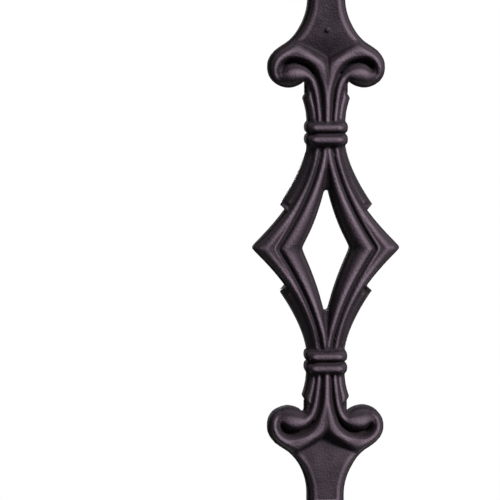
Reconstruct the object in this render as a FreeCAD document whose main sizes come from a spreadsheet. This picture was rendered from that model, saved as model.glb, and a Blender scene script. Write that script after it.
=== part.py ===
import FreeCAD, Part
import Sketcher
import math
import os

# Iron stair baluster: three hammered square bars and two scrolled diamond castings,
# butt-welded end to end. Millimetres, +Z up, origin at the centre of the foot end,
# the castings' broad faces look along -Y and +Y.

doc = FreeCAD.newDocument("baluster")
sheet = doc.addObject("Spreadsheet::Sheet", "Sizes")

SIZES = [
    # whole baluster
    ("overall_length", 1117.6),
    ("lower_motif_height", 312.5),
    ("upper_motif_height", 854.0),
    ("casting_half", 107.0),
    # hammered bar
    ("bar_half", 7.65),
    ("bar_flat", 5.0),
    ("waist_half", 5.9),
    ("waist_flat", 2.6),
    ("blow_land", 6.0),
    ("lower_blows", 7),
    ("middle_blows", 11),
    ("upper_blows", 5),
    # diamond arms, as half widths at the collar (root) and at the mid plane
    ("arm_height", 44.0),
    ("hole_root_lap", 3.6),
    ("hole_half", 9.9),
    ("hole_curve", 1.51),
    ("groove_root", 2.5),
    ("groove_half", 20.9),
    ("groove_curve", 1.62),
    ("corner_root", 5.9),
    ("corner_half", 31.4),
    ("corner_curve", 1.85),
    ("leaf_root", 8.0),
    ("leaf_reach", 34.2),
    ("leaf_curve", 1.57),
    ("leaf_tip_height", 18.0),
    ("leaf_cut", 3.4),
    ("inner_reed_depth", 7.6),
    ("inner_reed_bevel", 2.5),
    ("outer_reed_depth", 6.4),
    ("outer_reed_bevel", 1.6),
    ("arm_leaf_depth", 5.2),
    ("arm_leaf_bevel", 1.1),
    # collar of two rounded rings
    ("collar_base", 42.6),
    ("ring_height", 4.95),
    ("ring_half", 9.16),
    ("ring_edge_half", 7.9),
    ("ring_corner", 2.8),
    # centre stem of the scroll
    ("stem_base", 50.0),
    ("stem_root_half", 1.9),
    ("stem_top_half", 5.0),
    ("stem_top", 75.5),
    ("stem_end", 78.5),
    ("stem_depth", 8.7),
    ("stem_bevel", 1.5),
    # scroll rim, a spiral that tightens round the volute, its tail and the recess inside it
    ("volute_x", 15.8),
    ("volute_z", 74.8),
    ("rim_radius", 6.2),
    ("rim_half", 2.35),
    ("rim_swell", 1.35),
    ("spiral_gain", 8.3),
    ("rim_depth", 8.2),
    ("rim_bevel", 1.5),
    ("tail_depth", 4.2),
    ("tail_low", 66.0),
    ("tail_top", 77.0),
    ("floor_depth", 2.6),
    # bulb strand and the ball that it ends in
    ("bulb_x", 3.0),
    ("bulb_root_half", 1.4),
    ("bulb_end_half", 3.2),
    ("bulb_depth", 6.9),
    ("bulb_bevel", 1.0),
    ("ball_x", 13.6),
    ("ball_z", 71.35),
    ("ball_radius", 5.2),
    ("ball_depth", 8.7),
    # two small leaves at the foot of each scroll
    ("blade_root_x", 5.2),
    ("blade_tip_x", 7.7),
    ("blade_tip_z", 68.0),
    ("blade_half", 1.5),
    ("blade_cut", 0.6),
    ("blade_depth", 6.2),
    ("blade_bevel", 0.9),
    ("spur_root_x", 6.4),
    ("spur_tip_x", 8.1),
    ("spur_tip_z", 62.3),
    ("spur_half", 1.5),
    ("spur_cut", 2.4),
    ("spur_depth", 5.4),
    ("spur_bevel", 0.9),
    # flared neck, its face leaning back towards the scroll
    ("flare_radius", 23.75),
    ("flare_top", 103.3),
    ("flare_low", 81.3),
    ("fork_depth", 2.0),
    ("flare_bevel", 2.65),
    ("lean_depth", 5.2),
    ("lean_top", 90.0),
    # nub on the upper casting's upper neck
    ("nub_radius", 1.1),
    ("nub_height", 90.4),
]
for row, (alias, value) in enumerate(SIZES, start=1):
    sheet.set("A%d" % row, alias)
    sheet.set("B%d" % row, str(value))
    sheet.setAlias("B%d" % row, alias)
doc.recompute()


def size(alias):
    return "Sizes." + alias


def whole(alias):
    return int(round(sheet.get(alias)))


def add(kind, name):
    return doc.addObject(kind, name)


def draw_outline(sketch, points, start, arc_side=None, arc_radius="1"):
    """Closed outline; each corner is placed by its own two formulas, one side may be an arc."""
    count = len(points)
    rules = []
    for k in range(count):
        first = start[k]
        second = start[(k + 1) % count]
        if k == arc_side:
            reach = sheet.evalExpression(arc_radius)
            chord = second - first
            across = FreeCAD.Vector(chord.y, -chord.x, 0).normalize()
            centre = (first + second) * 0.5 + across * math.sqrt(reach ** 2 - chord.Length ** 2 / 4)
            turns = [math.atan2(end.y - centre.y, end.x - centre.x) % math.tau for end in (second, first)]
            circle = Part.Circle(centre, FreeCAD.Vector(0, 0, 1), reach)
            sketch.addGeometry(Part.ArcOfCircle(circle, turns[0], turns[1]), False)
        else:
            sketch.addGeometry(Part.LineSegment(first, second), False)
        rules.append(Sketcher.Constraint("Coincident", k, 1 if k == arc_side else 2,
                                         (k + 1) % count, 2 if k + 1 == arc_side else 1))
    for k in range(count):
        end = 2 if k == arc_side else 1
        rules.append(Sketcher.Constraint("DistanceX", -1, 1, k, end, start[k].x))
        rules.append(Sketcher.Constraint("DistanceY", -1, 1, k, end, start[k].y))
    if arc_side is not None:
        rules.append(Sketcher.Constraint("Radius", arc_side, sheet.evalExpression(arc_radius)))
    sketch.addConstraint(rules)
    for k, (across, along) in enumerate(points):
        sketch.setExpression("Constraints[%d]" % (count + 2 * k), across)
        sketch.setExpression("Constraints[%d]" % (count + 2 * k + 1), along)
    if arc_side is not None:
        sketch.setExpression("Constraints[%d]" % (3 * count), arc_radius)


def outline(name, points, plane_turn=0):
    sketch = add("Sketcher::SketchObject", name)
    start = [FreeCAD.Vector(sheet.evalExpression(x), sheet.evalExpression(z), 0) for x, z in points]
    draw_outline(sketch, points, start)
    sketch.Placement.Rotation = FreeCAD.Rotation(FreeCAD.Vector(1, 0, 0), plane_turn)
    return sketch


def plate(name, points, half_depth, arc_side=None, arc_radius="1"):
    """Plate in the plane of the motif; one side may be a hollow arc instead of a straight line."""
    body = add("PartDesign::Body", name)
    sketch = body.newObject("Sketcher::SketchObject", name + "_outline")
    plane = [item for item in body.Origin.OriginFeatures if item.Role == "XZ_Plane"][0]
    sketch.AttachmentSupport = (plane, [""])
    sketch.MapMode = "FlatFace"
    start = [FreeCAD.Vector(sheet.evalExpression(x), sheet.evalExpression(z), 0) for x, z in points]
    draw_outline(sketch, points, start, arc_side, arc_radius)
    pad = body.newObject("PartDesign::Pad", name + "_pad")
    pad.Profile = sketch
    pad.SideType = "Symmetric"
    pad.setExpression("Length", "2 * (%s)" % half_depth)
    doc.recompute()
    return body, pad, start


def bevelled_plate(name, points, half_depth, bevel, plain_sides, arc_side=None, arc_radius="1"):
    """Plate bevelled front and back along all but its plain sides."""
    body, pad, start = plate(name, points, half_depth, arc_side, arc_radius)
    edges = []
    for side in range(len(points)):
        ends = (start[side], start[(side + 1) % len(points)])
        for index, edge in enumerate(pad.Shape.Edges, start=1):
            found = [vertex.Point for vertex in edge.Vertexes]
            if side in plain_sides:
                continue
            if all(any(math.hypot(p.x - q.x, p.z - q.y) < 0.01 for p in found) for q in ends):
                edges.append("Edge%d" % index)
    dress = body.newObject("PartDesign::Chamfer", name + "_bevel")
    dress.Base = (pad, edges)
    dress.setExpression("Size", bevel)
    return body


def strip(near, far):
    """Outline of a strip from the stations of its two long sides, with its two plain ends."""
    points = near + far[::-1]
    return points, (len(near) - 1, len(points) - 1)


def between(start, end, share):
    return "(%s + (%s - %s) * %.3f)" % (size(start), size(end), size(start), share)


# Diamond arm: reed edges spread from the collar to the mid plane by a power curve

def spread(root, reach, curve, share):
    return "(%s + (%s - %s) * (%s)^%s)" % (root, reach, root, share, size(curve))


def hole_edge(share):
    return spread("(-1 * Sizes.hole_root_lap)", size("hole_half"), "hole_curve", share)


def groove_edge(share):
    return spread(size("groove_root"), size("groove_half"), "groove_curve", share)


def corner_edge(share):
    return spread(size("corner_root"), size("corner_half"), "corner_curve", share)


def leaf_edge(share):
    return spread(size("leaf_root"), size("leaf_reach"), "leaf_curve", share)


def arm_reed(name, near, far, near_lap, far_lap, near_end="0", far_end="0"):
    """Reed between two edge curves; a lap sinks its side into the next reed."""
    sides = []
    for edge, lap, end in ((near, -near_lap, near_end), (far, far_lap, far_end)):
        stations = []
        for k in range(5):
            share = "(%.2f * (1 - (%s) / Sizes.arm_height))" % (k / 4, end)
            wide = "(%s - %s)" % (far(share), near(share))
            stations.append(("%s + %.2f * %s" % (edge(share), lap, wide),
                             "Sizes.arm_height * (1 - %s)" % share))
        sides.append(stations)
    points, ends = strip(sides[0], sides[1])
    return bevelled_plate(name, points, size(name + "_depth"), size(name + "_bevel"), ends)


inner_reed = arm_reed("inner_reed", hole_edge, groove_edge, 0, 0.12)
outer_reed = arm_reed("outer_reed", groove_edge, corner_edge, 0.15, 0)
arm_leaf = arm_reed("arm_leaf", corner_edge, leaf_edge, 0.70, 0,
                    "Sizes.leaf_tip_height - Sizes.leaf_cut", "Sizes.leaf_tip_height")

# Scroll rim: a spiral that tightens to a circle round the volute, by its angle there

SPIRAL_END = 30
SPIRAL_SPAN = 160
RIM_START = 185
RIM_END = -115
RIM_STEPS = 11
rim_inside = []
rim_outside = []
for k in range(RIM_STEPS + 1):
    angle = RIM_START + (RIM_END - RIM_START) * k / RIM_STEPS
    turn = max(0.0, (angle - SPIRAL_END) / SPIRAL_SPAN)
    centre = "Sizes.rim_radius + Sizes.spiral_gain * %.4f" % turn ** 2
    half = "(Sizes.rim_half + Sizes.rim_swell * %.4f)" % turn ** 2
    for side, edge in (("-", rim_inside), ("+", rim_outside)):
        radius = "(%s %s %s)" % (centre, side, half)
        edge.append(("Sizes.volute_x + %s * %.5f" % (radius, math.cos(math.radians(angle))),
                     "Sizes.volute_z + %s * %.5f" % (radius, math.sin(math.radians(angle)))))
rim_points, rim_ends = strip(rim_inside, rim_outside)
rim_plate = bevelled_plate("scroll_rim", rim_points, size("rim_depth"), size("rim_bevel"), rim_ends)

# Floor of the recess between the rim and the bulb strand

scroll_floor = plate(
    "scroll_floor",
    [("0", "Sizes.stem_end - 6 * Sizes.fork_depth"),
     ("0.8 * Sizes.ball_x", "Sizes.stem_end - 5 * Sizes.fork_depth"),
     (size("ball_x"), size("ball_z")),
     ("Sizes.volute_x + Sizes.rim_radius", size("volute_z")),
     (size("volute_x"), "Sizes.volute_z + Sizes.rim_radius"),
     ("0", size("stem_end"))],
    size("floor_depth"))[0]

# Bulb strand: upright from the collar, then a quarter turn into the ball

bulb_bend = "(Sizes.ball_x - Sizes.bulb_x)"
bulb_inside = []
bulb_outside = []
for side, edge in ((1, bulb_inside), (-1, bulb_outside)):
    edge.append(("Sizes.bulb_x + %d * Sizes.bulb_root_half" % side, size("stem_base")))
    for angle in (0, 22, 44, 66, 88):
        half = between("bulb_root_half", "bulb_end_half", (angle / 90) ** 1.5)
        radius = "(%s - %d * %s)" % (bulb_bend, side, half)
        edge.append(("Sizes.ball_x - %s * %.5f" % (radius, math.cos(math.radians(angle))),
                     "Sizes.ball_z - %s + %s * %.5f" % (bulb_bend, radius, math.sin(math.radians(angle)))))
bulb_points, bulb_ends = strip(bulb_inside, bulb_outside)
bulb = bevelled_plate("bulb_strand", bulb_points, size("bulb_depth"), size("bulb_bevel"), bulb_ends)

# Two small leaves between the collar and the scroll


def small_leaf(name):
    """Leaf that bends outwards, its tip cut at a slant that rises towards the axis."""
    sides = []
    for side, rise in ((1, 0), (-1, 1)):
        stations = []
        for share in (0, 0.5, 1):
            middle = between(name + "_root_x", name + "_tip_x", share ** 1.5)
            height = between("stem_base", name + "_tip_z", share)
            stations.append(("%s + %d * %s" % (middle, side, size(name + "_half")),
                             "%s + %.2f * %s" % (height, rise * share, size(name + "_cut"))))
        sides.append(stations)
    points, ends = strip(sides[0], sides[1])
    return bevelled_plate(name, points, size(name + "_depth"), size(name + "_bevel"), ends)


blade = small_leaf("blade")
spur = small_leaf("spur")

# Flared neck and centre stem, each drawn on one side of the axis

flare_drop = "(Sizes.flare_top - Sizes.flare_low)"
flare_reach = "Sizes.bar_half + Sizes.flare_radius - sqrt(Sizes.flare_radius^2 - %s^2)" % flare_drop
flare_plate = bevelled_plate(
    "flared_neck",
    [("0", "Sizes.stem_end - Sizes.fork_depth"),
     ("0.6 * Sizes.stem_top_half", "Sizes.stem_end - Sizes.fork_depth"),
     ("1.8 * Sizes.stem_top_half", "Sizes.flare_low - 0.5 * Sizes.fork_depth"),
     (flare_reach, size("flare_low")),
     (size("bar_half"), size("flare_top")),
     (size("bar_half"), size("casting_half")),
     ("0", size("casting_half"))],
    size("bar_half"), size("flare_bevel"), (0, 1, 2, 5, 6), 3, size("flare_radius"))

stem_rise = "(Sizes.stem_top - Sizes.stem_base)"
stem_spread = "(Sizes.stem_top_half - Sizes.stem_root_half)"
stem = bevelled_plate(
    "scroll_stem",
    [("0", size("stem_base")),
     (size("stem_root_half"), size("stem_base")),
     (size("stem_top_half"), size("stem_top")),
     ("0.5 * Sizes.stem_top_half", size("stem_end")),
     ("0", size("stem_end"))],
    size("stem_depth"), size("stem_bevel"), (0, 2, 3, 4), 1,
    "(%s^2 + %s^2) / (2 * %s)" % (stem_rise, stem_spread, stem_spread))

# Faceted forms that swell and narrow along their length: slabs with wavy edges, turned
# to one another about the axis, keep only what they share


def wavy_profile(name, edge):
    return outline(name, edge + [("-1 * (%s)" % reach, z) for reach, z in reversed(edge)], 90)


def wavy_slab(name, profile, slab_width, turn):
    slab = add("Part::Extrusion", name)
    slab.Base = profile
    slab.DirMode = "Normal"
    slab.Symmetric = True
    slab.Solid = True
    slab.setExpression("LengthFwd", slab_width)
    slab.Placement.Rotation = FreeCAD.Rotation(FreeCAD.Vector(0, 0, 1), turn)
    return slab


def shared(name, first, second):
    common = add("Part::Common", name)
    common.Base = first
    common.Tool = second
    return common


def shared_slabs(name, edges, slab_width):
    kept = None
    for k, (profile, turn) in enumerate(edges):
        slab = wavy_slab("%s_slab_%d" % (name, k), profile, slab_width, turn)
        if kept is None:
            kept = slab
        else:
            kept = shared(name if k == len(edges) - 1 else "%s_shared_%d" % (name, k), kept, slab)
    return kept


def leaning(name, piece, low_depth, low, top_depth, top):
    """Piece whose front and back lean in from one depth at its top to a smaller one below."""
    slope = "((%s) - (%s)) / ((%s) - (%s))" % (top_depth, low_depth, top, low)
    edge = [("%s + %s * (%s - (%s))" % (low_depth, slope, z, low), z)
            for z in ("Sizes.collar_base", "Sizes.casting_half + Sizes.bar_half")]
    slab = wavy_slab(name + "_slab", wavy_profile(name + "_edge", edge), "4 * Sizes.casting_half", 90)
    return shared(name, piece, slab)


rim = leaning("leaning_rim", rim_plate, size("tail_depth"), size("tail_low"),
              size("rim_depth"), size("tail_top"))
flare = leaning("leaning_neck", flare_plate, size("lean_depth"), "(Sizes.stem_end - Sizes.fork_depth)",
                size("bar_half"), size("lean_top"))


def wavy_bar(name, stations, slab_width):
    """Square bar with bevelled corners, from its half width and half flat at each height."""
    flats = wavy_profile(name + "_flats", [(half, z) for z, half, flat in stations])
    corners = wavy_profile(name + "_corners", [("((%s) + (%s)) * sqrt(0.5)" % (half, flat), z)
                                               for z, half, flat in stations])
    return shared_slabs(name, [(flats, 0), (flats, 90), (corners, 45), (corners, 135)], slab_width)


# Ball at the end of the bulb strand

BALL_SLABS = 5
ball_edge = []
for angle in (-70, -40, 0, 40, 70):
    ball_edge.append(("Sizes.ball_radius * %.5f" % math.cos(math.radians(angle)),
                      "Sizes.ball_depth * %.5f" % math.sin(math.radians(angle))))
ball_profile = wavy_profile("ball_profile", ball_edge)
ball = shared_slabs("scroll_ball", [(ball_profile, 180 * k / BALL_SLABS) for k in range(BALL_SLABS)],
                    "4 * Sizes.ball_radius")
ball.Placement.Rotation = FreeCAD.Rotation(FreeCAD.Vector(1, 0, 0), 90)
ball.setExpression("Placement.Base.x", size("ball_x"))
ball.setExpression("Placement.Base.z", size("ball_z"))

# Collar of two rounded rings

collar_stations = []
for ring in range(2):
    for share, swell in ((0.0, 0), (0.2, 0.75), (0.5, 1), (0.8, 0.75)):
        half = between("ring_edge_half", "ring_half", swell)
        z = "Sizes.collar_base + Sizes.ring_height * %.2f" % (ring + share)
        collar_stations.append((z, half, half + " - Sizes.ring_corner"))
collar_stations.append(("Sizes.collar_base + 2 * Sizes.ring_height", size("ring_edge_half"),
                        "Sizes.ring_edge_half - Sizes.ring_corner"))
collar = wavy_bar("collar", collar_stations, "4 * Sizes.ring_half")

# Half motif, its mirror images, and the two castings


def fuse(name, pieces):
    joined = add("Part::MultiFuse", name)
    joined.Shapes = pieces
    return joined


def mirror(name, source, normal):
    image = add("Part::Mirroring", name)
    image.Source = source
    image.Normal = normal
    return image


right_side = fuse("right_side", [inner_reed, outer_reed, arm_leaf, rim, scroll_floor, bulb, ball, blade, spur,
                                 stem, flare])
left_side = mirror("left_side", right_side, FreeCAD.Vector(1, 0, 0))
upper_half = fuse("upper_half", [right_side, left_side, collar])
lower_half = mirror("lower_half", upper_half, FreeCAD.Vector(0, 0, 1))

nub = add("Part::Prism", "nub")
nub.Polygon = 8
nub.setExpression("Circumradius", size("nub_radius"))
nub.setExpression("Height", size("nub_radius"))
nub.Placement.Rotation = FreeCAD.Rotation(FreeCAD.Vector(1, 0, 0), 90)
nub.setExpression("Placement.Base.y", "-1 * Sizes.bar_half + 0.4 * Sizes.nub_radius")
nub.setExpression("Placement.Base.z", size("nub_height"))

lower_casting = fuse("lower_casting", [upper_half, lower_half])
lower_casting.setExpression("Placement.Base.z", size("lower_motif_height"))
upper_casting = fuse("upper_casting", [upper_half, lower_half, nub])
upper_casting.setExpression("Placement.Base.z", size("upper_motif_height"))

# Hammered bars: blows at slightly uneven spacing pinch all four sides and the corners


def hammered_bar(name, base, length, blows):
    pitch = "(%s) / %d" % (length, blows)
    full = (size("bar_half"), size("bar_flat"))
    stations = [("0",) + full]
    for k in range(blows):
        middle = "%s * %.3f" % (pitch, k + 0.5 + 0.08 * math.sin(2.4 * k + 1.0))
        waist = "Sizes.waist_half * %.3f" % (1 + 0.05 * math.sin(1.7 * k))
        if k > 0:
            stations.append(("%s * %d + Sizes.blow_land / 2" % (pitch, k),) + full)
        stations.append(("%s - Sizes.blow_land / 2" % middle, waist, size("waist_flat")))
        stations.append(("%s + Sizes.blow_land / 2" % middle, waist, size("waist_flat")))
        if k < blows - 1:
            stations.append(("%s * %d - Sizes.blow_land / 2" % (pitch, k + 1),) + full)
    stations.append((length,) + full)
    bar = wavy_bar(name, stations, "4 * Sizes.bar_half")
    bar.setExpression("Placement.Base.z", base)
    return bar


lower_bar = hammered_bar("lower_bar", "0", "Sizes.lower_motif_height - Sizes.casting_half",
                         whole("lower_blows"))
middle_bar = hammered_bar("middle_bar", "Sizes.lower_motif_height + Sizes.casting_half",
                          "Sizes.upper_motif_height - Sizes.lower_motif_height - 2 * Sizes.casting_half",
                          whole("middle_blows"))
upper_bar = hammered_bar("upper_bar", "Sizes.upper_motif_height + Sizes.casting_half",
                         "Sizes.overall_length - Sizes.upper_motif_height - Sizes.casting_half",
                         whole("upper_blows"))

doc.recompute()

for item in doc.Objects:
    if "Invalid" in item.State or "Error" in item.State:
        raise RuntimeError("%s did not build: %s" % (item.Name, item.State))

os.makedirs("parts", exist_ok=True)
for node in (lower_bar, lower_casting, middle_bar, upper_casting, upper_bar):
    if node.Shape.isNull() or not node.Shape.isValid():
        raise RuntimeError("%s has no valid shape" % node.Label)
    if len(node.Shape.Solids) != 1:
        raise RuntimeError("%s is not one solid" % node.Label)
    node.Shape.exportStep("parts/%s.step" % node.Label)
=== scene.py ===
import math

import bmesh
import bpy
import numpy as np
from mathutils import Matrix, Vector


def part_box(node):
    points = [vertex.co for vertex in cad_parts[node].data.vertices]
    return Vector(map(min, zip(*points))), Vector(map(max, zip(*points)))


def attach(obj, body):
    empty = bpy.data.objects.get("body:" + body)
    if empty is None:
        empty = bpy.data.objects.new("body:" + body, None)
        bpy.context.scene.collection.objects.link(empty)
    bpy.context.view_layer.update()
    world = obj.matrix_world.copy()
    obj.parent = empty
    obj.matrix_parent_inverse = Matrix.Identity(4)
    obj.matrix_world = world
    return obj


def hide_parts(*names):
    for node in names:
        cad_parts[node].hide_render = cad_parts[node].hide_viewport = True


# Looks of the iron stair baluster: smooth castings and hammered bars in satin black paint.
# Forms are written in millimetres. A casting's own frame has its middle at the diamond's middle.

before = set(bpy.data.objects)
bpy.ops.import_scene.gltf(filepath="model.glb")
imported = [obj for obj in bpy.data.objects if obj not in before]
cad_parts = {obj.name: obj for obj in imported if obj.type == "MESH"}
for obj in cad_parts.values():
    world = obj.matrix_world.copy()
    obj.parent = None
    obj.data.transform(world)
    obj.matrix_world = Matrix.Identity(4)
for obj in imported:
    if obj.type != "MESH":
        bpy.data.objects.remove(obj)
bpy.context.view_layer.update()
MM = 0.001

bar_low, bar_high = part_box("lower_bar")
mid_low, mid_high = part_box("middle_bar")
top_low, top_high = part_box("upper_bar")
LOWER_MOTIF = (bar_high.z + mid_low.z) / 2
UPPER_MOTIF = (mid_high.z + top_low.z) / 2
CASTING_HALF = (mid_low.z - bar_high.z) / 2 / MM

# A casting is worked out on a grid: its right-hand strands above the mid plane and in front of
# the middle of its thickness, then mirrored. The lower half differs only in its longer hole.
# Every strand has a height (half thickness) and an inside distance (how far a place lies within
# its edges).

STEP = 0.44
DEPTH_STEP = 1.3
xs = STEP * np.arange(-75, 76)
zs = STEP * np.arange(0, 247)
ys = DEPTH_STEP * np.arange(0, 9)
X, Z = np.meshgrid(xs, zs, indexing="ij")
OUTSIDE = -50.0


def smooth_through(knots, values, fine):
    """Cubic curve through the given values."""
    knots = np.asarray(knots, float)
    values = np.asarray(values, float)
    if len(knots) < 3:
        return np.interp(fine, knots, values)
    step = np.diff(knots)
    slope = np.diff(values) / step
    tangent = np.concatenate([slope[:1], (slope[:-1] + slope[1:]) / 2, slope[-1:]])
    fine = np.clip(fine, knots[0], knots[-1])
    place = np.clip(np.searchsorted(knots, fine, side="right") - 1, 0, len(knots) - 2)
    t = (fine - knots[place]) / step[place]
    return ((2 * t ** 3 - 3 * t ** 2 + 1) * values[place]
            + (t ** 3 - 2 * t ** 2 + t) * step[place] * tangent[place]
            + (-2 * t ** 3 + 3 * t ** 2) * values[place + 1]
            + (t ** 3 - t ** 2) * step[place] * tangent[place + 1])


def roof(t, edge_in, edge_out, power, peak):
    """Share of the height across a strand, from its inner edge at -1 to its outer edge at 1."""
    inner = 1 - (1 - edge_in) * np.clip((peak - t) / (1 + peak), 0, 1) ** power
    outer = 1 - (1 - edge_out) * np.clip((t - peak) / (1 - peak), 0, 1) ** power
    return np.where(t < peak, inner, outer)


def smooth_max(first, second, blend):
    """Larger of two values, rounded off where they are within the blend of each other."""
    near = np.clip(1 - np.abs(first - second) / blend, 0, 1)
    return np.maximum(first, second) + blend / 4 * near ** 2


FAR_OFF = 6.0


def ribbon(pairs, heights, edges_in, edges_out, power, peak, count):
    """Strand drawn by pairs of places on its inner and outer edges."""
    fine = np.linspace(0, 1, count)

    def even(values):
        return smooth_through(np.linspace(0, 1, len(values)), values, fine)

    in_x, in_z, out_x, out_z = (even([pair[k] for pair in pairs]) for k in range(4))
    mid_x = (in_x + out_x) / 2
    mid_z = (in_z + out_z) / 2
    half = np.hypot(out_x - in_x, out_z - in_z) / 2
    across_x = (out_x - in_x) / (2 * half)
    across_z = (out_z - in_z) / (2 * half)
    rows = [mid_x, mid_z, half, across_x, across_z, even(heights), even(edges_in), even(edges_out)]
    middle = count // 2
    hand = np.sign((mid_x[middle + 1] - mid_x[middle]) * across_z[middle]
                   - (mid_z[middle + 1] - mid_z[middle]) * across_x[middle])

    def ahead(k):
        return hand * ((X - mid_x[k]) * across_z[k] - (Z - mid_z[k]) * across_x[k])

    nearest = np.full(X.shape, FAR_OFF)
    height = np.full(X.shape, OUTSIDE)
    inside = np.full(X.shape, OUTSIDE)
    last = ahead(0)
    for k in range(count - 1):
        following = ahead(k + 1)
        here = np.nonzero((last >= 0) & (following < 0))
        share = last[here] / (last[here] - following[here])
        cx, cz, wide, ux, uz, tall, edge_in, edge_out = (
            row[k] + (row[k + 1] - row[k]) * share for row in rows)
        t = ((X[here] - cx) * ux + (Z[here] - cz) * uz) / wide
        closer = np.abs(t) < nearest[here]
        spot = (here[0][closer], here[1][closer])
        nearest[spot] = np.abs(t)[closer]
        inside[spot] = (wide * (1 - np.abs(t)))[closer]
        height[spot] = (tall * roof(t, edge_in, edge_out, power, peak))[closer]
        last = following
    return height, inside


def cut(strand, x, z, normal_x, normal_z):
    """Strand kept only on the side of a line that the normal points to."""
    height, inside = strand
    length = math.hypot(normal_x, normal_z)
    return height, np.minimum(inside, ((X - x) * normal_x + (Z - z) * normal_z) / length)


# Diamond arm: reeds between edges that spread from the collar to the mid plane

ARM_HEIGHT = 44.0
POINT_ROUNDING = 0.7
HOLE_ROUNDING = 0.6
EDGE_SLOPE = 0.8
ROOT_DIP = 0.18
DIP_START, DIP_LENGTH = 34, 8
LEAF_X, LEAF_Z = 19.3, 18.0
LEAF_CUT_X, LEAF_CUT_Z = -2.0, 2.3


def spread(root, reach, curve):
    """Edge that runs out from the collar to the mid plane."""
    return root + (reach - root) * np.clip(1 - np.hypot(Z, POINT_ROUNDING) / ARM_HEIGHT, 0, 1) ** curve


HOLE_HEIGHTS = [0, 3, 6.2, 11.2, 17.9, 22.1, 30, 44]
UPPER_HOLE = [10.1, 8.55, 6.95, 4.8, 2.5, 1.3, -0.6, -3.6]
LOWER_HOLE = [10.1, 8.9, 7.5, 5.5, 3.15, 1.95, -0.2, -3.6]
UPPER_TIP = 22.95
LOWER_TIP = 25.3
TIP_RADIUS = 1.15
CROTCH_HALF = 2.0
CROTCH_TOP = 36
groove_edge = spread(2.5, 20.9, 1.62)
corner_edge = spread(5.9, 31.4, 1.85)
leaf_edge = spread(8.0, 34.2, 1.57)


def arm_reed(near, far, near_lap, far_lap, height, *shape):
    """Reed between two edges, widened by its laps and sinking a little towards the collar."""
    wide = far - near
    left = near - near_lap * wide
    right = far + far_lap * wide
    t = (2 * X - left - right) / (right - left)
    inside = np.minimum(EDGE_SLOPE * np.minimum(X - left, right - X), ARM_HEIGHT + 1 - Z)
    dip = ROOT_DIP * np.clip((Z - DIP_START) / DIP_LENGTH, 0, 1)
    return height * roof(t, *shape) * (1 - dip), inside


outer_reed = arm_reed(groove_edge, corner_edge, 0.03, 0.0, 7.2, 0.84, 0.50, 1.6, -0.15)
reed_share = (2 * X - groove_edge - corner_edge) / (corner_edge - groove_edge)
bead = 0.75 * np.exp(-((reed_share + 0.84) / 0.14) ** 2)
outer_reed = (outer_reed[0] + bead, outer_reed[1])
leaf_end = (((Z - LEAF_Z) * LEAF_CUT_Z + (X - LEAF_X) * LEAF_CUT_X)
            / math.hypot(LEAF_CUT_X, LEAF_CUT_Z))
arm_leaf = cut(arm_reed(corner_edge, leaf_edge, 0.75, 0.0, 5.1, 0.9, 0.42, 1.1, -0.12),
               LEAF_X, LEAF_Z, LEAF_CUT_X, LEAF_CUT_Z)
leaf_lip = 0.9 * np.exp(-(leaf_end / 0.7) ** 2) - 0.7 * np.exp(-((leaf_end - 1.8) / 0.8) ** 2)
arm_leaf = (arm_leaf[0] + leaf_lip, arm_leaf[1])

# Scroll: centre stem that forks into the rims, bulb strand, small leaf, and the floors between them

SHANK_LOW, SHANK_TOP = 44, 72
SHANK_HEIGHT = 5.2
FORK_LOW, FORK_TOP = 64, 79
FORK_HALF = 9
FORK_HEIGHT = 1.8
RECESS_HEIGHT = 3.0

rim = ribbon(
    [(1.75, 46.0, -1.75, 46.0), (1.85, 56.0, -1.85, 56.0), (2.05, 62.0, -2.0, 62.3),
     (2.6, 66.0, -2.4, 66.8), (3.4, 69.3, -2.5, 71.4), (4.6, 72.4, -1.7, 75.6), (6.2, 74.9, 0.4, 79.0),
     (8.3, 76.6, 4.2, 81.4), (10.8, 77.7, 8.3, 83.8), (13.6, 78.3, 12.6, 85.8), (16.2, 78.2, 17.3, 84.2),
     (18.3, 77.0, 21.3, 81.6), (19.5, 75.3, 23.6, 78.7), (20.0, 73.5, 24.7, 75.0),
     (19.9, 71.9, 24.5, 71.8), (19.2, 70.4, 23.2, 69.0), (18.0, 69.4, 20.6, 67.0)],
    [7.9, 7.9, 8.0, 8.2, 8.4, 8.5, 8.5, 8.5, 8.4, 8.3, 8.2, 8.1, 8.0, 7.6, 6.7, 5.6, 4.6],
    [0.80, 0.80, 0.80, 0.82, 0.85] + [0.84] * 8 + [0.86, 0.9, 0.92, 0.95],
    [0.80, 0.80, 0.80, 0.80, 0.78, 0.68, 0.50, 0.57, 0.66, 0.62, 0.40, 0.32, 0.28, 0.24, 0.22, 0.24,
     0.28],
    1.8, -0.15, 140)
bulb = ribbon(
    [(2.2, 46.0, 4.5, 46.0), (2.35, 54.0, 4.7, 54.0), (3.1, 62.0, 5.7, 61.3), (3.7, 66.2, 6.6, 64.8),
     (4.7, 69.8, 7.6, 67.2), (5.9, 72.2, 8.8, 68.6), (7.6, 74.2, 10.2, 67.9), (9.7, 75.7, 11.6, 66.8),
     (12.6, 76.6, 13.6, 65.9), (15.4, 76.5, 16.2, 65.7), (17.5, 75.4, 19.2, 66.4),
     (18.7, 74.0, 21.7, 67.9), (19.2, 72.6, 23.6, 69.8), (19.8, 71.9, 24.6, 72.0)],
    [7.3, 7.3, 7.3, 7.3, 7.3, 7.4, 7.8, 8.5, 8.9, 8.5, 7.2, 6.0, 5.4, 5.3],
    [0.91, 0.91, 0.90, 0.88, 0.85, 0.80, 0.72, 0.63, 0.58, 0.56, 0.60, 0.74, 0.9, 0.95],
    [0.70, 0.70, 0.70, 0.68, 0.64, 0.54, 0.40, 0.26, 0.18, 0.16, 0.18, 0.22, 0.26, 0.28],
    2.0, -0.22, 120)
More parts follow.
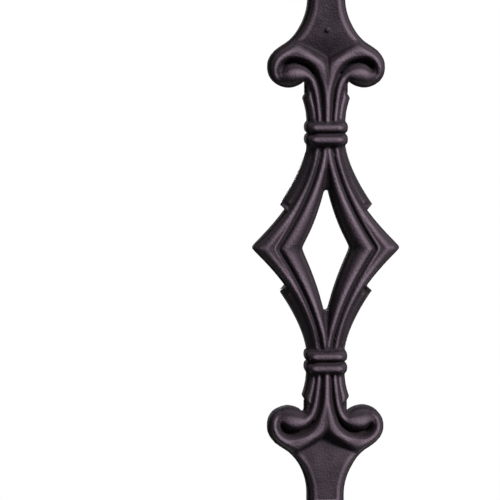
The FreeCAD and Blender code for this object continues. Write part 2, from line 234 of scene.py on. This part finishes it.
spur = cut(ribbon([(4.2, 46.0, 7.7, 46.0), (4.4, 54.0, 7.9, 54.0), (4.9, 58.0, 8.5, 58.0),
                   (5.6, 61.2, 9.4, 61.2), (6.4, 65.0, 10.9, 65.0)],
                  [6.5, 6.5, 6.4, 6.2, 5.9], [0.90] * 5, [0.62] * 5, 1.2, -0.62, 60),
           9.66, 62.3, -2.2, -1.36)
shank_half = smooth_through([SHANK_LOW, 54, 60, 64.5, 67, 69, SHANK_TOP],
                            [6.6, 6.8, 7.3, 7.8, 8.2, 9.0, 10.0], Z)
shank = (np.full(X.shape, SHANK_HEIGHT),
         np.minimum(shank_half - np.abs(X), np.minimum(Z - SHANK_LOW, SHANK_TOP - Z)))
rim_side = ribbon(
    [(3.1, 66.0, 2.5, 66.2), (4.3, 69.6, 3.3, 69.5), (5.5, 72.1, 4.5, 72.6), (7.2, 74.2, 6.1, 75.1),
     (9.0, 75.8, 8.2, 76.8), (11.2, 76.8, 10.7, 77.9), (13.7, 77.3, 13.6, 78.5),
     (16.0, 77.2, 16.2, 78.4), (17.8, 76.2, 18.4, 77.2), (18.7, 74.8, 19.6, 75.5),
     (18.9, 73.3, 20.1, 73.6), (18.6, 71.8, 20.0, 71.9)],
    [6.7] * 12, [0.50] * 8 + [0.55, 0.70, 0.9, 1.0], [1.0] * 12, 1.1, 0.98, 120)
recess = ribbon(
    [(8.5, 70.5, 8.5, 77.0), (13.0, 69.0, 12.0, 81.5), (17.0, 69.0, 18.0, 81.5),
     (20.5, 71.0, 22.0, 77.5)],
    [RECESS_HEIGHT] * 2, [1.0, 1.0], [1.0, 1.0], 2.0, 0.0, 60)
fork = (np.full(X.shape, FORK_HEIGHT),
        np.minimum(FORK_HALF - np.abs(X), np.minimum(Z - FORK_LOW, FORK_TOP - Z)))

# Flared neck, bevelled along its sides, the face leaning back towards the fork

FLARE_FACE = 7.55
LEAN, LEAN_TOP, LEAN_BLEND = 0.84, 88.5, 2
BEVEL_DROP = 2.2
BEVEL_REACH = 1.25
flare_half = smooth_through([81.5, 82.9, 84.5, 86.2, 89.5, 92.9, 96.2, 99.5, 102.9, 107.0],
                            [21.0, 18.9, 16.8, 14.9, 12.05, 10.05, 8.7, 7.85, 7.5, 7.5], Z)
flare_bevel = np.interp(Z, [82, 92, 103], [4.0, 3.2, 2.6])
flare_face = FLARE_FACE - LEAN * np.log1p(np.exp((LEAN_TOP - Z) / LEAN_BLEND))
flare_low = np.interp(np.abs(X), [0, 7, 13, 20], [75.5, 78.6, 81.6, 82.2])
flare_edge = (flare_half - np.abs(X)) / flare_bevel
flare_drop = BEVEL_DROP * np.clip(BEVEL_REACH - flare_edge, 0, BEVEL_REACH) ** 2
flare = (flare_face - flare_drop, np.minimum(EDGE_SLOPE * (flare_half - np.abs(X)), Z - flare_low))

# Collar of two rounded rings on a bevelled square plan

COLLAR_BASE = 42.6
RING_HEIGHT = 4.95
RING_HALF, RING_BULGE = 7.55, 1.15
RING_FACE, RING_RISE = 6.7, 2.4
COLLAR_CORNER = 2.9
CORNER_BLEND = 1.2
ring_share = np.mod((Z - COLLAR_BASE) / RING_HEIGHT, 1.0)
ring_swell = np.clip(1 - (2 * ring_share - 1) ** 2, 0, 1)
ring_half = RING_HALF + RING_BULGE * ring_swell ** 0.6
ring_face = RING_FACE + RING_RISE * ring_swell ** 0.8
collar_in = np.minimum(Z - COLLAR_BASE, COLLAR_BASE + 2 * RING_HEIGHT - Z)
collar_bevel = ring_face + ring_half - COLLAR_CORNER - np.abs(X)
collar = (-smooth_max(-ring_face, -collar_bevel, CORNER_BLEND),
          np.minimum(ring_half - np.abs(X), collar_in))

# One casting as a level set, mirrored to all its sides

LOBE_X, LOBE_Z = 15.75, 75.0
LOBE_RADIUS = 8.62
LOBE_LEFT, LOBE_TOP = 9, 77
STRANDS_BASE = 49.5
SIDE_BLEND = 0.3


def union(strands, blend):
    """Level set of several strands, over 0 inside them, for every depth of the grid."""
    total = None
    for height, inside in strands:
        solid = np.minimum(height[..., None] - ys, inside[..., None])
        total = solid if total is None else smooth_max(total, solid, blend)
    return total


def diamond_arm(edges, tip):
    """Arm of the diamond beside a hole with these half widths, its end rounded at the tip."""
    hole_edge = smooth_through(HOLE_HEIGHTS, edges, np.hypot(Z, HOLE_ROUNDING))
    inner_reed = arm_reed(hole_edge, groove_edge, 0.0, 0.02, 7.8, 0.42, 0.66, 1.9, 0.25)
    hole_end = np.hypot(X, Z - tip) - TIP_RADIUS
    crotch_in = np.minimum(np.minimum(CROTCH_HALF - np.abs(X), CROTCH_TOP - Z),
                           np.minimum(hole_end, Z - tip))
    crotch = (np.interp(Z, [tip, tip + 5, CROTCH_TOP], [3.6, 5.0, 6.2]), crotch_in)
    arm = union([inner_reed, outer_reed, arm_leaf, crotch], SIDE_BLEND)
    return np.minimum(arm, hole_end[..., None])


merge = np.interp(np.abs(X), [9, 14], [0.4, 1.4])[..., None]
curl = (0.3 + 1.7 * np.clip((X - 15) / 4, 0, 1) * np.clip((76 - Z) / 3, 0, 1))[..., None]
scroll = smooth_max(smooth_max(union([rim], 1), union([flare], 1), merge), union([bulb], 1), curl)
lobe_in = (LOBE_RADIUS - np.hypot(X - LOBE_X, Z - LOBE_Z))[..., None]
lobe = ((X > LOBE_LEFT) & (Z < LOBE_TOP))[..., None]
scroll = np.where(lobe, np.minimum(scroll, lobe_in), scroll)
leaves = union([spur, shank, rim_side, recess, fork], 0.25)
above = np.minimum(smooth_max(scroll, leaves, 0.2), (Z - STRANDS_BASE)[..., None])


def half_casting(arm):
    """Half of the casting from the mid plane up, with its left side mirrored from its right."""
    half = smooth_max(np.maximum(arm, above), union([collar], 1), 0.2)
    half = smooth_max(half, half[::-1], SIDE_BLEND)
    return np.minimum(half, (CASTING_HALF - zs)[None, :, None])


field = np.concatenate([half_casting(diamond_arm(LOWER_HOLE, LOWER_TIP))[:, :0:-1],
                        half_casting(diamond_arm(UPPER_HOLE, UPPER_TIP))], 1)


def skin(level, low):
    """Quads round the places where a grid of values is above zero, one corner in each cell crossed."""
    within = level > 0
    size = level.shape
    count = np.zeros([n - 1 for n in size], np.int8)
    corners = [(i, j, k) for i in (0, 1) for j in (0, 1) for k in (0, 1)]
    for i, j, k in corners:
        count += within[i:size[0] - 1 + i, j:size[1] - 1 + j, k:size[2] - 1 + k]
    cells = np.argwhere((count > 0) & (count < 8))
    number = np.full(count.shape, -1, np.int64)
    number[tuple(cells.T)] = np.arange(len(cells))
    total = np.zeros((len(cells), 3))
    hits = np.zeros(len(cells))
    for start in corners:
        for axis in range(3):
            if start[axis] == 0:
                step = np.eye(3, dtype=int)[axis]
                first = level[tuple((cells + start).T)]
                second = level[tuple((cells + start + step).T)]
                crossed = (first > 0) != (second > 0)
                share = first[crossed] / (first[crossed] - second[crossed])
                total[crossed] += np.asarray(start) + share[:, None] * step
                hits += crossed
    points = low + np.array([STEP, DEPTH_STEP, STEP]) * (cells + total / hits[:, None])
    quads = []
    for axis in range(3):
        first = np.take(within, range(size[axis] - 1), axis)
        second = np.take(within, range(1, size[axis]), axis)
        place = np.argwhere(first != second)
        side = np.eye(3, dtype=int)[(axis + 1) % 3]
        other = np.eye(3, dtype=int)[(axis + 2) % 3]
        around = (place - side - other, place - other, place, place - side)
        ring = np.stack([number[tuple(spot.T)] for spot in around], 1)
        inward = ~first[tuple(place.T)]
        ring[inward] = ring[inward][:, ::-1]
        quads.append(ring)
    return points, np.concatenate(quads)


level = np.concatenate([field[..., :0:-1], field], 2).transpose(0, 2, 1)
points, quads = skin(level, np.array([xs[0], -ys[-1], -zs[-1]]))


# Relief: how far the face stands above or below what lies round it, over 0 on crests and under 0 in
# hollows; it sets the painted highlight on crests and the painted shade in hollows.
# Steep: slope of the face, which sets painted shade on steep sides and a rougher finish. Wall: how near
# a place is to the outline, where that painted shade is held back.

COLLAR_PAINTED_LIGHT_SHARE = 0.55


def blurred(values, reach):
    """Values averaged twice over a square of neighbours."""
    for axis in (0, 1):
        margin = [(reach + 1, reach) if k == axis else (0, 0) for k in (0, 1)]
        for _ in range(2):
            summed = np.cumsum(np.pad(values, margin, mode="edge"), axis)
            count = values.shape[axis]
            values = (np.take(summed, range(2 * reach + 1, 2 * reach + 1 + count), axis)
                      - np.take(summed, range(count), axis)) / (2 * reach + 1)
    return values


face = DEPTH_STEP * (np.clip(field / DEPTH_STEP + 0.5, 0, 1).sum(2) - 0.5)
solid = (face > 0.3).astype(float)
share = blurred(solid, 2)
relief = (face - blurred(face * solid, 2) / np.maximum(share, 0.05)) * solid
relief = relief * np.clip((share - 0.55) / 0.35, 0, 1)
# On the collar the relief, and with it the painted highlight and painted shade, is weakened
on_collar = np.concatenate([collar_in[:, :0:-1], collar_in], 1) > 0
relief = relief * np.where(on_collar, COLLAR_PAINTED_LIGHT_SHARE, 1.0)
rounded = blurred(face, 1)
steep = np.hypot(*np.gradient(rounded, STEP))
wall = np.clip((0.98 - blurred(solid, 1)) / 0.3, 0, 1)


def casting_mesh():
    """Mesh of the casting that carries the relief, steep and wall values of its face."""
    data = bpy.data.meshes.new("rough")
    data.from_pydata(points * MM, [], quads.tolist())
    data.update()
    rough = bpy.data.objects.new("rough", data)
    bpy.context.scene.collection.objects.link(rough)
    soften = rough.modifiers.new("soften", "SMOOTH")
    soften.factor = 0.5
    soften.iterations = 1
    bpy.context.view_layer.update()
    graph = bpy.context.evaluated_depsgraph_get()
    smooth = bpy.data.meshes.new_from_object(rough.evaluated_get(graph))
    bpy.data.objects.remove(rough)
    smooth.shade_smooth()
    spots = np.zeros(3 * len(smooth.vertices))
    smooth.vertices.foreach_get("co", spots)
    spots = spots.reshape(-1, 3) / MM
    across = np.clip((spots[:, 0] - xs[0]) / STEP, 0, len(xs) - 1.001)
    along = np.clip((spots[:, 2] + zs[-1]) / STEP, 0, 2 * len(zs) - 2.001)
    column, row = across.astype(int), along.astype(int)
    u, v = across - column, along - row
    for name, values in (("relief", relief), ("steep", steep), ("wall", wall)):
        values = ((values[column, row] * (1 - u) + values[column + 1, row] * u) * (1 - v)
                  + (values[column, row + 1] * (1 - u) + values[column + 1, row + 1] * u) * v)
        smooth.attributes.new(name, "FLOAT", "POINT").data.foreach_set("value", values)
    return smooth


def casting(name, mesh, height, extra):
    """Casting set at its height on the bar, with an extra form added where one is given."""
    data = mesh.copy()
    data.name = name
    if extra:
        work = bmesh.new()
        work.from_mesh(data)
        places, faces = extra
        corners = [work.verts.new((x * MM, y * MM, z * MM)) for x, y, z in places]
        for face in faces:
            work.faces.new([corners[k] for k in face]).smooth = True
        work.to_mesh(data)
        work.free()
    data.transform(Matrix.Translation((0, 0, height)))
    piece = bpy.data.objects.new(name, data)
    bpy.context.scene.collection.objects.link(piece)
    return piece


def slices(levels):
    """Closed form from flat outlines at rising heights, every outline with the same number of points."""
    points = []
    faces = []
    count = len(levels[0][1])
    for z, ring in levels:
        points.extend((x, y, z) for x, y in ring)
    for k in range(len(levels) - 1):
        for j in range(count):
            a = k * count + j
            b = k * count + (j + 1) % count
            faces.append((a, b, b + count, a + count))
    faces.append(tuple(range(count - 1, -1, -1)))
    faces.append(tuple((len(levels) - 1) * count + j for j in range(count)))
    return points, faces


BAR_SIDES = 48
BAR_CRISPNESS = 12


def bevelled_square(half, corner):
    """Outline of a square with softened, bevelled corners."""
    ring = []
    reach = (2 * half - corner) / math.sqrt(2)
    for k in range(BAR_SIDES):
        turn = 2 * math.pi * k / BAR_SIDES
        c = math.cos(turn)
        s = math.sin(turn)
        total = (abs(c) / half) ** BAR_CRISPNESS + (abs(s) / half) ** BAR_CRISPNESS
        for slant in (c + s, c - s):
            total += (abs(slant) / math.sqrt(2) / reach) ** BAR_CRISPNESS
        radius = total ** (-1 / BAR_CRISPNESS)
        ring.append((radius * c, radius * s))
    return ring


NUB_CENTRE = (0, -7.5, 90.4)
NUB_RADII = (1.15, 0.75, 1.05)
NUB_RINGS = 12
NUB_SIDES = 20


def ellipsoid(centre, radii):
    """Rounded form with tiny flat ends."""
    levels = []
    for k in range(NUB_RINGS + 1):
        up = math.pi * (k + 0.05) / (NUB_RINGS + 0.1)
        turns = [2 * math.pi * j / NUB_SIDES for j in range(NUB_SIDES)]
        levels.append((centre[2] - radii[2] * math.cos(up),
                       [(centre[0] + radii[0] * math.sin(up) * math.cos(turn),
                         centre[1] + radii[1] * math.sin(up) * math.sin(turn)) for turn in turns]))
    return slices(levels)


# Hammered bars: soft blows at slightly uneven places pinch the sides and the corners

SLICE = 0.9
BAR_HALF = 7.6
BLOW_DEPTH = 1.75
BAR_CORNER = 2.65
CORNER_GAIN = 0.65
UNEVEN_PLACE = 0.08
UNEVEN_DEPTH = 0.10


def hammered_bar(name, low, high, blows):
    """Bar between two heights, with a given number of blows along it."""
    length = (high - low) / MM
    pitch = length / blows
    levels = []
    count = int(length / SLICE)
    middles = [pitch * (k + 0.5 + UNEVEN_PLACE * math.sin(2.4 * k + 1.0)) for k in range(blows)]
    for k in range(count + 1):
        z = length * k / count
        pinch = 0.0
        for j, middle in enumerate(middles):
            reach = abs(z - middle) / (pitch * 0.5)
            if reach < 1:
                depth = 1.0 - UNEVEN_DEPTH * math.sin(1.7 * j)
                pinch = max(pinch, depth * (0.5 + 0.5 * math.cos(math.pi * reach)) ** 0.8)
        ring = bevelled_square(BAR_HALF - BLOW_DEPTH * pinch, BAR_CORNER + CORNER_GAIN * pinch)
        levels.append((low / MM + z, ring))
    points, faces = slices(levels)
    data = bpy.data.meshes.new(name)
    data.from_pydata([(x * MM, y * MM, z * MM) for x, y, z in points], [], faces)
    data.update()
    for face in data.polygons:
        face.use_smooth = len(face.vertices) == 4
    piece = bpy.data.objects.new(name, data)
    bpy.context.scene.collection.objects.link(piece)
    return piece


# Satin black paint with a fine grain, crests painted paler as a painted highlight, grooves and steep
# sides painted darker as painted shade

PAINT_IOR = 1.12
PAINT_ROUGHNESS = 0.33
ROUGHNESS_SPREAD = 0.07
GRAIN_STRENGTH = 0.8
GRAIN_DEPTH = 0.0007
DARK_BLOTCH, PALE_BLOTCH = 0.58, 1.3
PAINTED_CREST_HIGHLIGHT = 4.3
STEEP_SIDE_SHADE = 0.22
GROOVE_SHADE = 0.62


def paint(name, colour, grain_size):
    """Paint of one colour with a grain of the given noise scale."""
    material = bpy.data.materials.new(name)
    material.use_nodes = True
    tree = material.node_tree
    shader = tree.nodes["Principled BSDF"]
    shader.inputs["IOR"].default_value = PAINT_IOR
    place = tree.nodes.new("ShaderNodeTexCoord")

    def noise(scale, detail, roughness):
        node = tree.nodes.new("ShaderNodeTexNoise")
        node.inputs["Scale"].default_value = scale
        node.inputs["Detail"].default_value = detail
        node.inputs["Roughness"].default_value = roughness
        tree.links.new(place.outputs["Object"], node.inputs["Vector"])
        return node.outputs["Fac"]

    def ramp(source, low, high, first, last):
        node = tree.nodes.new("ShaderNodeMapRange")
        node.inputs["From Min"].default_value = low
        node.inputs["From Max"].default_value = high
        node.inputs["To Min"].default_value = first
        node.inputs["To Max"].default_value = last
        tree.links.new(source, node.inputs["Value"])
        return node.outputs["Result"]

    def mix(share, first, last):
        node = tree.nodes.new("ShaderNodeMix")
        node.data_type = "RGBA"
        tree.links.new(share, node.inputs[0])
        for socket, value in ((node.inputs[6], first), (node.inputs[7], last)):
            if isinstance(value, tuple):
                socket.default_value = value
            else:
                tree.links.new(value, socket)
        return node.outputs[2]

    def attribute(layer):
        node = tree.nodes.new("ShaderNodeAttribute")
        node.attribute_name = layer
        return node.outputs["Fac"]

    def shade(factor):
        return tuple(factor * c for c in colour) + (1,)

    relief = attribute("relief")
    steep = attribute("steep")
    blotch = mix(ramp(noise(90, 4, 0.6), 0.3, 0.7, 0, 1), shade(DARK_BLOTCH), shade(PALE_BLOTCH))
    # Painted highlight: crests that stand above what lies round them are painted several times paler
    crest_highlight = ramp(relief, 0.05, 0.26, 0, 0.9)
    # Painted shade: hollows that lie below what lies round them are painted darker
    groove_shade = ramp(relief, -0.05, -0.4, 0, 0.9)
    # Painted shade: steep sides are painted darker, less so close to the outline
    flank_shade = tree.nodes.new("ShaderNodeMath")
    flank_shade.operation = "SUBTRACT"
    flank_shade.use_clamp = True
    tree.links.new(ramp(steep, 0.2, 0.95, 0, 0.88), flank_shade.inputs[0])
    tree.links.new(ramp(attribute("wall"), 0, 1, 0, 0.4), flank_shade.inputs[1])
    tone = mix(flank_shade.outputs[0], mix(crest_highlight, blotch, shade(PAINTED_CREST_HIGHLIGHT)), shade(STEEP_SIDE_SHADE))
    tree.links.new(mix(groove_shade, tone, shade(GROOVE_SHADE)), shader.inputs["Base Color"])
    dull = tree.nodes.new("ShaderNodeMath")
    dull.operation = "MAXIMUM"
    tree.links.new(ramp(noise(260, 3, 0.5), 0.3, 0.7, PAINT_ROUGHNESS - ROUGHNESS_SPREAD,
                        PAINT_ROUGHNESS + ROUGHNESS_SPREAD), dull.inputs[0])
    tree.links.new(ramp(steep, 1.2, 3.0, 0, 1), dull.inputs[1])
    tree.links.new(dull.outputs[0], shader.inputs["Roughness"])
    bump = tree.nodes.new("ShaderNodeBump")
    bump.inputs["Strength"].default_value = GRAIN_STRENGTH
    bump.inputs["Distance"].default_value = GRAIN_DEPTH
    tree.links.new(noise(grain_size, 3, 0.55), bump.inputs["Height"])
    tree.links.new(bump.outputs["Normal"], shader.inputs["Normal"])
    return material


casting_paint = paint("casting_paint", (0.052, 0.0386, 0.0496), 1350)
bar_paint = paint("bar_paint", (0.058, 0.043, 0.055), 1100)

form = casting_mesh()
nub = ellipsoid(NUB_CENTRE, NUB_RADII)
for node, height, extra in (("lower_casting", LOWER_MOTIF, None), ("upper_casting", UPPER_MOTIF, nub)):
    piece = casting(node + "_form", form, height, extra)
    piece.data.materials.append(casting_paint)
    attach(piece, "root")
    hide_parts(node)

for node, low, high, blows in (("lower_bar", bar_low.z, bar_high.z, 7),
                               ("middle_bar", mid_low.z, mid_high.z, 11),
                               ("upper_bar", top_low.z, top_high.z, 5)):
    piece = hammered_bar(node + "_form", low, high, blows)
    piece.data.materials.append(bar_paint)
    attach(piece, "root")
    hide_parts(node)


# Pale floor that fades into the white surroundings

FLOOR_RADIUS = 0.62
FADE_START, FADE_END = 0.2, 0.6


def floor():
    bpy.ops.mesh.primitive_circle_add(vertices=96, radius=FLOOR_RADIUS, fill_type="NGON",
                                      location=(0, 0, 0))
    disc = bpy.context.object
    disc.name = "floor"
    material = bpy.data.materials.new("floor")
    material.use_nodes = True
    tree = material.node_tree
    shader = tree.nodes["Principled BSDF"]
    shader.inputs["Base Color"].default_value = (0.86, 0.86, 0.86, 1)
    shader.inputs["Roughness"].default_value = 0.9
    shader.inputs["Specular IOR Level"].default_value = 0.0
    place = tree.nodes.new("ShaderNodeTexCoord")
    length = tree.nodes.new("ShaderNodeVectorMath")
    length.operation = "LENGTH"
    tree.links.new(place.outputs["Object"], length.inputs[0])
    fade = tree.nodes.new("ShaderNodeMapRange")
    fade.inputs["From Min"].default_value = FADE_START
    fade.inputs["From Max"].default_value = FADE_END
    tree.links.new(length.outputs["Value"], fade.inputs["Value"])
    clear = tree.nodes.new("ShaderNodeBsdfTransparent")
    both = tree.nodes.new("ShaderNodeMixShader")
    tree.links.new(fade.outputs["Result"], both.inputs[0])
    tree.links.new(shader.outputs[0], both.inputs[1])
    tree.links.new(clear.outputs[0], both.inputs[2])
    tree.links.new(both.outputs[0], tree.nodes["Material Output"].inputs["Surface"])
    disc.data.materials.append(material)


floor()


# White surroundings for the camera and reflections, soft studio light on the object

SOFT_LIGHT = 0.03


def surroundings():
    world = bpy.data.worlds.new("studio")
    bpy.context.scene.world = world
    world.use_nodes = True
    tree = world.node_tree
    tree.nodes.clear()
    rays = tree.nodes.new("ShaderNodeLightPath")
    seen = tree.nodes.new("ShaderNodeMath")
    seen.operation = "MAXIMUM"
    tree.links.new(rays.outputs["Is Camera Ray"], seen.inputs[0])
    tree.links.new(rays.outputs["Is Glossy Ray"], seen.inputs[1])
    also = tree.nodes.new("ShaderNodeMath")
    also.operation = "MAXIMUM"
    tree.links.new(seen.outputs[0], also.inputs[0])
    tree.links.new(rays.outputs["Is Transmission Ray"], also.inputs[1])
    both = tree.nodes.new("ShaderNodeMixShader")
    tree.links.new(also.outputs[0], both.inputs[0])
    for socket, strength in ((1, SOFT_LIGHT), (2, 1.0)):
        white = tree.nodes.new("ShaderNodeBackground")
        white.inputs["Color"].default_value = (1, 1, 1, 1)
        white.inputs["Strength"].default_value = strength
        tree.links.new(white.outputs[0], both.inputs[socket])
    out = tree.nodes.new("ShaderNodeOutputWorld")
    tree.links.new(both.outputs[0], out.inputs["Surface"])


def lamp(name, place, aim, power, width, height):
    """Rectangular lamp turned to its aim, in watts and metres."""
    data = bpy.data.lights.new(name, "AREA")
    data.shape = "RECTANGLE"
    data.size = width
    data.size_y = height
    data.energy = power
    light = bpy.data.objects.new(name, data)
    light.location = place
    light.rotation_euler = (Vector(aim) - Vector(place)).to_track_quat("-Z", "Y").to_euler()
    bpy.context.scene.collection.objects.link(light)


surroundings()
lamp("key", (1.5, -1.3, 2.15), (0, 0, 0.78), 78, 0.4, 0.7)
lamp("top", (0.3, -1.2, 2.4), (0, 0, 0.8), 15, 0.5, 0.4)
lamp("back", (-0.2, 2.1, 1.15), (0, 0, 0.6), 34, 0.5, 1.2)

# Camera: level with the upper casting, a little from the left and from above

AZIMUTH = -6.0
ELEVATION = 5.0
FRAME_WIDTH = 0.2083
LENS = 200.0
AXIS_PIXEL = (325.5, 247.0)
IMAGE = 500.0

az = math.radians(AZIMUTH)
el = math.radians(ELEVATION)
back = Vector((math.sin(az) * math.cos(el), -math.cos(az) * math.cos(el), math.sin(el)))
right = Vector((math.cos(az), math.sin(az), 0))
up = right.cross(-back)
centre = Vector((0, 0, UPPER_MOTIF))
data = bpy.data.cameras.new("camera")
data.lens = LENS
camera = bpy.data.objects.new("camera", data)
bpy.context.scene.collection.objects.link(camera)
bpy.context.scene.camera = camera
camera.location = centre + back * (LENS * FRAME_WIDTH / data.sensor_width)
aim = centre - right * ((AXIS_PIXEL[0] / IMAGE - 0.5) * FRAME_WIDTH)
aim = aim + up * ((AXIS_PIXEL[1] / IMAGE - 0.5) * FRAME_WIDTH)
camera.rotation_euler = (aim - camera.location).to_track_quat("-Z", "Y").to_euler()
data.clip_start = 0.01
data.clip_end = 50

scene = bpy.context.scene
scene.view_settings.view_transform = "Standard"
